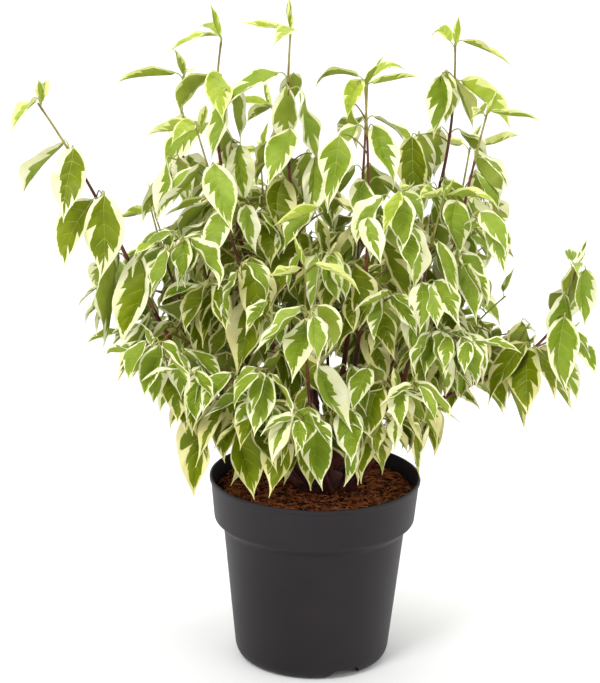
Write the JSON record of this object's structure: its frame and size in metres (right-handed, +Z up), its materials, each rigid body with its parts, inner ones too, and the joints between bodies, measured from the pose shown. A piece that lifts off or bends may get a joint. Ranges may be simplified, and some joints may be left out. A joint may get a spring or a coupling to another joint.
{
  "type": "potted variegated dogwood shrub",
  "caption": "Many-stemmed dogwood shrub with drooping white-edged green leaves, standing in a round tapered plastic nursery pot filled with peat.",
  "frame": {"origin": "middle of the pot's underside, on the ground", "axes": "+Z up along the pot's axis, +X to the right of the shrub's front, +Y away behind it"},
  "size_m": [0.5473, 0.4107, 0.6605],
  "materials": {
    "pot_plastic": "satin anthracite, fine moulding grain",
    "potting_soil": "loose fibrous peat and bark crumbs",
    "woody_foot": "rough brown bark",
    "stem_bark": "smooth dark red bark with pale pores",
    "foliage": "satin leaf green, toothed patches",
    "leaf_edge": "satin cream, leaf margins",
    "leaf_underside": "matte grey green with raised veins"
  },
  "bodies": {
    "root": {"pot": "pot_plastic", "soil": "potting_soil", "foot_stem": "woody_foot", "stem_back": "stem_bark", "stem_back_far_left": "stem_bark", "stem_back_high": "stem_bark", "stem_back_left": "stem_bark", "stem_back_middle": "stem_bark", "stem_back_right": "stem_bark", "stem_far_left": "stem_bark", "stem_far_right": "stem_bark", "stem_front": "stem_bark", "stem_front_left": "stem_bark", "stem_front_middle": "stem_bark", "stem_front_right": "stem_bark", "stem_left": "stem_bark", "stem_low_back": "stem_bark", "stem_low_back_left": "stem_bark", "stem_low_back_right": "stem_bark", "stem_low_front": "stem_bark", "stem_low_front_left": "stem_bark", "stem_low_front_right": "stem_bark", "stem_low_left": "stem_bark", "stem_low_right": "stem_bark", "stem_right": "stem_bark", "stem_tall_left": "stem_bark", "stem_tall_middle": "stem_bark", "stem_tall_right": "stem_bark", "foliage_back": "foliage", "foliage_back_far_left": "foliage", "foliage_back_high": "foliage", "foliage_back_left": "foliage", "foliage_back_middle": "foliage", "foliage_back_right": "foliage", "foliage_far_left": "foliage", "foliage_far_right": "foliage", "foliage_front": "foliage", "foliage_front_left": "foliage", "foliage_front_middle": "foliage", "foliage_front_right": "foliage", "foliage_left": "foliage", "foliage_low_back": "foliage", "foliage_low_back_left": "foliage", "foliage_low_back_right": "foliage", "foliage_low_front": "foliage", "foliage_low_front_left": "foliage", "foliage_low_front_right": "foliage", "foliage_low_left": "foliage", "foliage_low_right": "foliage", "foliage_right": "foliage", "foliage_tall_left": "foliage", "foliage_tall_middle": "foliage", "foliage_tall_right": "foliage"}
  },
  "joints": []
}
